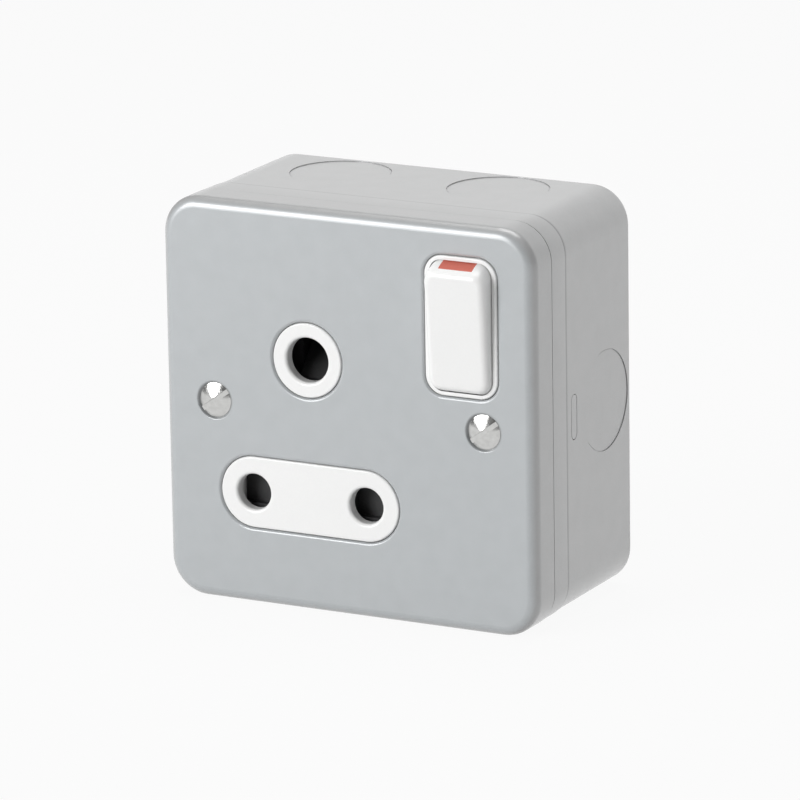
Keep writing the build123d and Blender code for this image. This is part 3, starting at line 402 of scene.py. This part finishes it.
def wound_wire(name, low, high):
    """Round wire wound to fill a box: its centre goes round an upright axis and rises evenly.

    Across the wire lies a circle, spanned by the direction away from the axis and the one at right
    angles to it and to the wire. At each end the circle narrows to a point along a quarter circle.
    """
    middle = (np.array(low) + np.array(high)) / 2
    radius = (high[0] - low[0]) / 2 - SPRING_WIRE_R
    rise = high[2] - low[2] - 2 * SPRING_WIRE_R
    ends = np.linspace(0, math.pi / 2, SPRING_CAP_ROWS + 1)[:-1]
    wound = np.linspace(0, 1, SPRING_STEPS)
    along = np.concatenate([np.zeros(SPRING_CAP_ROWS), wound, np.ones(SPRING_CAP_ROWS)])
    shift = np.concatenate([-np.cos(ends), np.zeros(SPRING_STEPS), np.cos(ends[::-1])]) * SPRING_WIRE_R
    width = np.concatenate([np.sin(ends), np.ones(SPRING_STEPS), np.sin(ends[::-1])]) * SPRING_WIRE_R
    turn = 2 * math.pi * SPRING_TURNS * along
    away = np.stack([np.cos(turn), np.sin(turn), np.zeros_like(turn)], axis=-1)
    slope = rise / (2 * math.pi * SPRING_TURNS)
    forward = np.stack([-radius * np.sin(turn), radius * np.cos(turn), np.full_like(turn, slope)], axis=-1)
    forward /= np.linalg.norm(forward, axis=-1, keepdims=True)
    beside = np.cross(forward, away)
    centre = away * radius + forward * shift[:, None]
    centre += (middle[0], middle[1], low[2] + SPRING_WIRE_R)
    centre[:, 2] += rise * along
    round_wire = np.linspace(0, 2 * math.pi, SPRING_ROUND, endpoint=False)[None, :, None]
    spread = np.cos(round_wire) * away[:, None] + np.sin(round_wire) * beside[:, None]
    points = centre[:, None] + spread * width[:, None, None]
    spring = put_mesh(name, points, grid_faces(len(along), SPRING_ROUND, around=True))
    shape = bmesh.new()
    shape.from_mesh(spring.data)
    bmesh.ops.remove_doubles(shape, verts=shape.verts, dist=SPRING_WIRE_R / 1000)
    bmesh.ops.recalc_face_normals(shape, faces=shape.faces)
    shape.to_mesh(spring.data)
    shape.free()
    return spring


spring_low, spring_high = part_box("shutter_spring")
shutter_slide = next(joint for joint in frame["joints"] if joint["name"] == "shutter_slide")
shutter_travel = max(shutter_slide["range_m"])
spring = wound_wire("coiled_shutter_spring", spring_low, spring_high)
spring.data.materials.append(spring_wire)
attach(spring, "housing")
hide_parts("shutter_spring")
1 - shutter_travel / (spring_high.z - SPRING_FOOT_Z)
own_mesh(spring)

# Plate screws: two raised countersunk screws in bright nickel, with a single slot.
# The heads were turned and then polished, which leaves fine rings that spread the light into sectors.
RING_PITCH = 0.00021
RING_SLOPE = 0.16
RING_CORE = 0.0002
NICKEL_DARK = (0.50, 0.50, 0.49)
NICKEL_LIGHT = (0.68, 0.68, 0.67)
NICKEL_ROUGHNESS = 0.10
NICKEL_DULL = 0.10


def turned_nickel():
    """Bright nickel whose normal leans out and in from ring to ring, about each screw's own axis."""
    finish = Finish(bpy.data.materials.new("bright_nickel"))
    across, _, height = finish.place_parts()
    side = across.math("SIGN", across)
    off_screw = across - side * SCREW_X
    from_screw = (off_screw * off_screw + height * height).root()
    wave = from_screw.math("SINE", from_screw * (2 * math.pi / RING_PITCH))
    lean = wave * RING_SLOPE / (from_screw + RING_CORE)
    outward = finish.node("ShaderNodeCombineXYZ", {}, {"X": off_screw * lean, "Y": 0.0, "Z": height * lean})
    flat = finish.node("ShaderNodeNewGeometry", output="Normal")
    turned = finish.node("ShaderNodeVectorMath", {"operation": "ADD"}, {0: flat, 1: outward})
    dull = finish.noise(STREAKS_PER_METRE, detail=4.0)
    return finish.surface(
        Base_Color=finish.tint(dull, NICKEL_DARK, NICKEL_LIGHT),
        Metallic=1.0,
        Roughness=NICKEL_ROUGHNESS + dull * NICKEL_DULL,
        Normal=finish.node("ShaderNodeVectorMath", {"operation": "NORMALIZE"}, {0: turned}),
    )


dress(turned_nickel(), "plate_screws")


# Brass fittings: contacts and straps stamped from sheet, pin sockets and terminals made from bar, all
# left bare. They sit in the base and its cover, but for the box's earth terminal, which is in the box.
BRASS_DARK = (0.52, 0.38, 0.16)
BRASS_LIGHT = (0.80, 0.62, 0.30)
TARNISH_PER_METRE = 400
TARNISH_DEPTH = 0.000015
BRASS_ROUGHNESS = 0.2
TARNISH_ROUGHNESS = 0.25


def bare_brass():
    """Brass that goes from dull brown to bright yellow in soft patches, the bright ones rougher."""
    finish = Finish(bpy.data.materials.new("bare_brass"))
    tarnish = finish.noise(TARNISH_PER_METRE, detail=5.0)
    return finish.surface(
        Base_Color=finish.tint(tarnish, BRASS_DARK, BRASS_LIGHT),
        Metallic=1.0,
        Roughness=BRASS_ROUGHNESS + tarnish * TARNISH_ROUGHNESS,
        Normal=finish.bump(tarnish, TARNISH_DEPTH),
    )


brass = bare_brass()
for name in nodes:
    if name.endswith(("_strap", "_contact", "_terminal", "_pin_socket")):
        dress(brass, name)


# Mouldings: the front and the rocker are pressed in white urea, with a red strip let into the rocker.
# The base, its cover, the shutter and the plungers are dark phenolic. Screws hold base and cover.
WHITE_DARK = (0.885, 0.886, 0.880)
WHITE_LIGHT = (0.925, 0.926, 0.920)
PHENOLIC_DARK = (0.014, 0.014, 0.015)
PHENOLIC_LIGHT = (0.026, 0.026, 0.027)
RED_DARK = (0.57, 0.13, 0.09)
RED_LIGHT = (0.66, 0.155, 0.108)
MOTTLE_PER_METRE = 2500
MOTTLE_ROUGHNESS = 0.08
GLOSS_ROUGHNESS = 0.06
SINKS_PER_METRE = 700
SINK_DEPTH = 0.00001


def moulding(name, dark, light, roughness, coat):
    """A hard moulding: a fine mottle in its colour and roughness, and faint sinks in its surface."""
    finish = Finish(bpy.data.materials.new(name))
    mottle = finish.noise(MOTTLE_PER_METRE, detail=2.0)
    return finish.surface(
        Base_Color=finish.tint(mottle, dark, light),
        Roughness=roughness + mottle * MOTTLE_ROUGHNESS,
        Coat_Weight=coat,
        Coat_Roughness=GLOSS_ROUGHNESS,
        Normal=finish.bump(finish.noise(SINKS_PER_METRE, detail=1.0), SINK_DEPTH),
    )


white_moulding = moulding("white_moulding", WHITE_DARK, WHITE_LIGHT, roughness=0.26, coat=0.3)
dark_moulding = moulding("dark_moulding", PHENOLIC_DARK, PHENOLIC_LIGHT, roughness=0.45, coat=0.0)
red_inlay = moulding("red_inlay", RED_DARK, RED_LIGHT, roughness=0.45, coat=0.0)
dress(white_moulding, "front_moulding", "rocker")
dress(red_inlay, "rocker_flag")
dress(dark_moulding, "socket_base", "rear_cover", "shutter", "line_plunger", "neutral_plunger")
